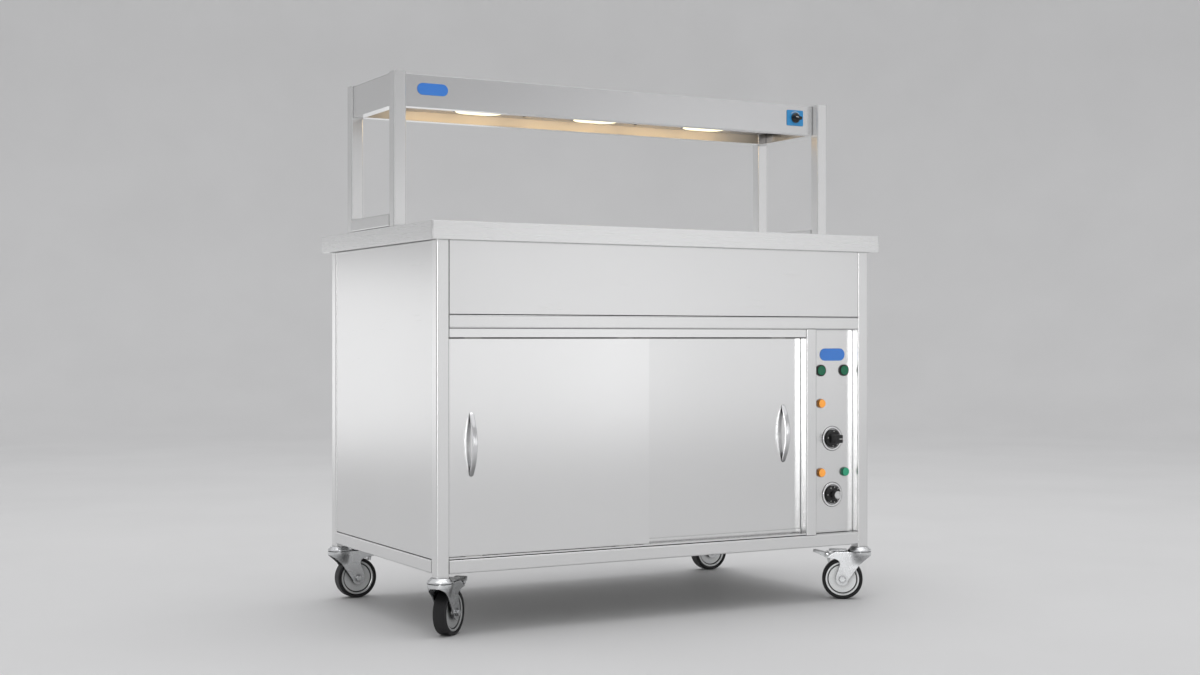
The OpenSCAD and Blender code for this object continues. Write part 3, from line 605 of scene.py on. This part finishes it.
def trailing(z):
    """Where the fork's trailing edge is at height z: round end, waist, then the horn."""
    if z < 52:
        return AXLE[0] + math.sqrt(max(0.0, FOOT_R ** 2 - (z - AXLE[1]) ** 2))
    if z < 88:
        return 57.8 - 9.5 * step((z - 52) / 36)
    if z < 100:
        return 48.3 + 16 * (1 - math.sqrt(max(0.0, 1 - ((z - 88) / 12) ** 2)))
    if z < 104:
        return 64.3 + 18.7 * step((z - 100) / 3.0)
    return 83 - 24 * (z - 104) / (TOP - 104)


def fork_point(s, z, psi, side):
    """A point of the pressed shell: wrapped round the head at the top, flat legs lower down."""
    k = step((z - WRAP_LOW) / (TOP - WRAP_LOW))
    if psi is not None and s < 0:
        t = (FLAT + (HEAD_R - FLAT) * k) * math.sin(psi)
    else:
        t = FLAT + (HEAD_R - FLAT) * k * (1 - step(s / 20))
    return Vector((s, side * t, z))


def fork_rows(side):
    """Rows of points (mm) over one half of the fork's shell, from its foot to its top."""
    rows, columns = [], 26
    heights = [34.2, 34.8, 36, 38, 41] + [44 + 3 * i for i in range(18)]
    heights += [97.5, 99.5, 100.5, 101.5, 103, 104, 106, 108, 109, 111, 113, 115, 116.6, TOP]
    for z in heights:
        psi0, s0 = leading(z)
        s1 = trailing(z)
        row = []
        for i in range(columns):
            f = i / (columns - 1)
            if psi0 is not None:
                wrap = HEAD_R * (math.pi / 2 - psi0)
                u = f * (wrap + s1)
                if u < wrap:
                    psi = psi0 + u / HEAD_R
                    row.append(fork_point(-HEAD_R * math.cos(psi), z, psi, side))
                else:
                    row.append(fork_point(u - wrap, z, None, side))
            else:
                row.append(fork_point(s0 + f * (s1 - s0), z, None, side))
        rows.append(row)
    return rows


def pin_frame(corner):
    """The pedal pin's frame in the castor's own frame, with Z along the pin."""
    height = joints[f"{corner}_brake_pedal"]["pos_m"][2]
    return Matrix.Translation((PIN_X * MM, 0, height)) @ Matrix.Rotation(math.pi / 2, 4, "X")


def fork(corner):
    """The fork's pressed shell, its crown with the top plate, and the axle and pedal pin."""
    m = castor_frame(corner)
    body = f"{corner}_castor"
    bm = bmesh.new()
    for side in (-1, 1):
        rings(bm, [[p * MM for p in row] for row in fork_rows(side)], closed=False)
    shell = finished(f"{corner}_fork_shell", bm, MATS["zinc"], body, matrix=m)
    solid = shell.modifiers.new("thickness", "SOLIDIFY")
    solid.thickness = SHEET_T * MM
    solid.offset = -1
    edge = shell.modifiers.new("edges", "BEVEL")
    edge.width, edge.segments, edge.limit_method = 0.4 * MM, 2, "ANGLE"
    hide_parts(f"{corner}_fork")

    bm = bmesh.new()
    crown = fork_rows(1)[-1]
    outline = [(p.x, p.y - 0.9 if p.x > 0 else p.y * 0.965) for p in crown]
    outline += [(x, -y) for x, y in reversed(outline)]
    clean = [p for i, p in enumerate(outline) if math.dist(p, outline[i - 1]) > 0.05]
    prism(bm, clean, TOP - 2.5, TOP - 0.1, m)
    plate = m @ Matrix.Translation((0.053, 0, 0))
    prism(bm, round_rect(44, 36, 6), TOP + 1.9, TOP + 4.4, plate)
    prism(bm, round_rect(34, 22, 4), TOP - 0.3, TOP + 2.2, plate)
    finished(f"{corner}_fork_crown", bm, MATS["zinc"], body, bevel=0.5)

    bm = bmesh.new()
    across = m @ Matrix.Translation((AXLE[0] * MM, 0, AXLE[1] * MM)) @ Matrix.Rotation(
        math.pi / 2, 4, "X")
    lathe(bm, [(4.0, -25), (4.0, 25)], across, 32)
    for s in (-1, 1):
        turn = across @ Matrix.Diagonal((1, 1, s, 1))
        lathe(bm, [(8.4, 20.4), (8.4, 21.9)], turn, 40)
        hexagon = [(7.4 * math.cos(a), 7.4 * math.sin(a))
                   for a in (math.pi / 3 * i for i in range(6))]
        prism(bm, hexagon, 21.9, 26.2, turn)
    pin = m @ pin_frame(corner)
    lathe(bm, [(2.5, -21.5), (2.5, 21.5)], pin, 24)
    for s in (-1, 1):
        lathe(bm, [(4.6, 20.4), (4.8, 21.2), (3.8, 22.4), (0.01, 22.8)],
              pin @ Matrix.Diagonal((1, 1, s, 1)), 32)
    finished(f"{corner}_axle", bm, MATS["zinc"], body, bevel=0.4)


def wheel_seam(corner):
    """The dark joint between a wheel's disc and its rim, on both faces."""
    inner_r, outer_r, low, high = 34.7, 36.2, 9.2, 9.9
    m = castor_frame(corner) @ Matrix.Translation((AXLE[0] * MM, 0, AXLE[1] * MM))
    bm = bmesh.new()
    for s in (-1, 1):
        turn = m @ Matrix.Rotation(s * math.pi / 2, 4, "X")
        lathe(bm, [(inner_r, low), (outer_r, low), (outer_r, high), (inner_r, high)], turn, 96)
    finished(f"{corner}_wheel_joint", bm, MATS["tyre_rubber"],
             joints[f"{corner}_wheel_spin"]["child"])


def pedal(corner):
    """Pressed foot pedal: a barrel on the pin, a flanged tongue with a curled end, and a shoe."""
    m = castor_frame(corner)
    z0 = joints[f"{corner}_brake_pedal"]["pos_m"][2] / MM
    bm = bmesh.new()
    path = [(4.0, 2.6), (9, 4.2), (15, 5.6), (21, 7.0), (27, 8.3), (31.5, 9.0), (34.4, 8.6),
            (35.4, 6.8)]
    half = [15.8, 15.8, 15.8, 15.8, 15.2, 13.2, 11.0, 10.2]
    sheet, wall = 2.2, 0.86
    loops = []
    for i, ((x, z), h) in enumerate(zip(path, half)):
        flange = 2.4 + 8.4 * (1 - i / (len(path) - 1))
        under = [(1, -flange), (wall, -flange), (wall, -sheet), (-wall, -sheet),
                 (-wall, -flange), (-1, -flange)]
        loops.append([Vector((PIN_X + x, t * h, z0 + z + dz)) * MM
                      for t, dz in [(t / 6, 0.0) for t in range(-6, 7)] + under])
    rings(bm, loops)
    lathe(bm, [(4.9, -16.0), (4.9, 16.0)], pin_frame(corner), 36)
    shoe = Matrix.Translation((PIN_X * MM, 0, z0 * MM)) @ Matrix.Rotation(
        math.radians(SHOE_TILT), 4, "Y")
    rings(bm, [[shoe @ (Vector((x, y, -h)) * MM) for x, y in round_rect(6, 27, 2)]
               for h in (2, 10, 18.6, 20.2)])
    piece = finished(f"{corner}_foot_pedal", bm, MATS["zinc"], f"{corner}_brake",
                     bevel=0.4, matrix=m)
    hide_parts(f"{corner}_pedal")


for corner in CORNERS:
    fork(corner)
    wheel_seam(corner)
    pedal(corner)


# ---- floor, light and camera ----

def studio_bowl():
    """A pale floor that curves up into a plain round backdrop."""
    s = Shader("backdrop", Roughness=0.6)
    cloud = s.noise(1.4, 3, 0.5)
    s.shade(Base_Color=s.mix(s.span(cloud, 0.3, 0.7), (0.73, 0.73, 0.73), (0.76, 0.76, 0.76)))
    s.bump(s.noise(260, 2, 0.5), 0.05, 0.0002)
    bend, reach, height = 3.0, 10.0, 7.0
    profile = [(reach - bend + bend * math.sin(t), bend - bend * math.cos(t))
               for t in (math.pi / 2 * i / 24 for i in range(25))]
    bm = bmesh.new()
    rings(bm, [[(r * math.cos(t), r * math.sin(t), z)
                for t in (2 * math.pi * i / 96 for i in range(96))]
               for r, z in [(0, 0)] + profile + [(reach, height)]], caps=False)
    ground = made("studio_floor", bm, s.mat, 1e-5)
    return ground


def light_group(name, members, state):
    """A collection that tells a lamp which objects to light, or which to leave out."""
    group = bpy.data.collections.new(name)
    for member in members:
        group.objects.link(member)
    for entry in group.collection_objects:
        entry.light_linking.link_state = state
    return group


def softbox(name, at, towards, width, height, glow, color=(1, 1, 1), lights=None):
    """A plain light panel; glow is how bright its face looks in a mirror."""
    data = bpy.data.lights.new(name, "AREA")
    data.shape = "RECTANGLE"
    data.size, data.size_y, data.color = width, height, color
    data.energy = glow * math.pi * width * height
    lamp = bpy.data.objects.new(name, data)
    bpy.context.scene.collection.objects.link(lamp)
    lamp.location = at
    lamp.rotation_euler = (Vector(towards) - Vector(at)).to_track_quat("-Z", "Y").to_euler()
    lamp.visible_camera = False
    lamp.light_linking.receiver_collection = lights


# name, place, aimed at, width, height, glow
PANELS = (
    ("key", (-3.3, -5.9, 0.9), (-0.2, 0, 0.6), 1.9, 2.0, 0.9),
    ("front_left", (2.2, -6.0, 0.75), (0.2, 0, 0.7), 2.0, 1.7, 0.48),
    ("front_right", (4.35, -6.0, 0.75), (0.6, 0, 0.7), 2.4, 1.7, 0.38),
    ("upper_right", (4.2, -6.0, 2.2), (0.5, 0, 1.2), 2.0, 0.9, 0.4),
    ("left", (-2.75, 5.2, 0.42), (-0.6, 0, 0.6), 2.3, 1.3, 0.62),
    ("rear", (1.6, 6.2, 0.9), (0.0, 0, 0.6), 1.9, 1.8, 0.75),
    ("right", (6.0, 1.5, 0.9), (0.5, 0, 0.6), 1.9, 1.8, 0.7),
)
ACCENT = ("accent", (-3.2, -5.7, 0.9), (-0.2, 0, 0.6), 1.9, 2.0, 3.6)
CEILING = ("top", (0.2, -0.4, 5.6), (0, 0, 0), 4.6, 4.6, 1.1)
ACCENT_PIECES = ("left_bow_handle", "right_bow_handle", "dial_bezels")
ACCENT_CASTOR_PIECES = ("fork_shell", "fork_crown", "axle")
ACCENT_NODES = ("mullion", "corner_posts", "control_panel", "right_door_panel",
                "castor_bearings")


def surroundings():
    """An even pale light from all sides."""
    world = bpy.data.worlds.new("studio")
    bpy.context.scene.world = world
    world.use_nodes = True
    back = next(n for n in world.node_tree.nodes if n.type == "BACKGROUND")
    back.inputs["Color"].default_value = (0.81, 0.81, 0.82, 1)
    back.inputs["Strength"].default_value = 1.0


def room_panels(ground):
    """Panels for the steel to mirror, which leave the floor out, and one large one above.

    The bright accent panel lights only the pieces and nodes in the three ACCENT lists and the
    wheel hubs. The right door is the one wide sheet among them.
    """
    not_floor = light_group("not_floor", [ground], "EXCLUDE")
    for name, at, towards, width, height, glow in PANELS:
        softbox(name, at, towards, width, height, glow, lights=not_floor)
    shiny = [bpy.data.objects[name] for name in ACCENT_PIECES]
    shiny += [bpy.data.objects[f"{corner}_{part}"]
              for corner in CORNERS for part in ACCENT_CASTOR_PIECES]
    shiny += [frame["nodes"][name] for name in ACCENT_NODES]
    shiny += [frame["nodes"][f"{corner}_hub"] for corner in CORNERS]
    softbox(*ACCENT, lights=light_group("accent_parts", shiny, "INCLUDE"))
    softbox(*CEILING)


def heat_lamps():
    """Warm light below each lens, and on the canopy's rear wall beside it."""
    below, on_wall = (1.0, 0.72, 0.38), (1.0, 0.72, 0.40)
    lens_lo, lens_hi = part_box("lamp_lenses")
    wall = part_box("canopy_shell")[1].y
    y, z = (lens_lo.y + lens_hi.y) / 2, lens_lo.z
    pitch = ((lens_hi.x - lens_lo.x) - LENS_L) / 2
    for i in (-1, 0, 1):
        x = i * pitch
        softbox(f"lamp_glow_{i + 1}", (x, y, z - 0.008), (x, y + 0.02, z - 0.3),
                0.09, 0.05, 5, below)
        softbox(f"wall_glow_{i + 1}", (x, y + 0.02, z - 0.003), (x, wall, z + 0.002),
                0.26, 0.012, 7, on_wall)


CAMERA_AT = (-1.9996, -3.6358, 0.6491)
CAMERA_YAW = math.radians(-28.835)
LENS_MM, SENSOR_MM = 50.02, 36


def camera():
    """A level camera, about half as high as the object and to its left."""
    data = bpy.data.cameras.new("camera")
    data.lens, data.sensor_width = LENS_MM, SENSOR_MM
    cam = bpy.data.objects.new("camera", data)
    bpy.context.scene.collection.objects.link(cam)
    cam.location = CAMERA_AT
    cam.rotation_euler = (math.pi / 2, 0, CAMERA_YAW)
    bpy.context.scene.camera = cam


floor = studio_bowl()
surroundings()
room_panels(floor)
heat_lamps()
camera()
bpy.context.scene.view_settings.view_transform = "Standard"
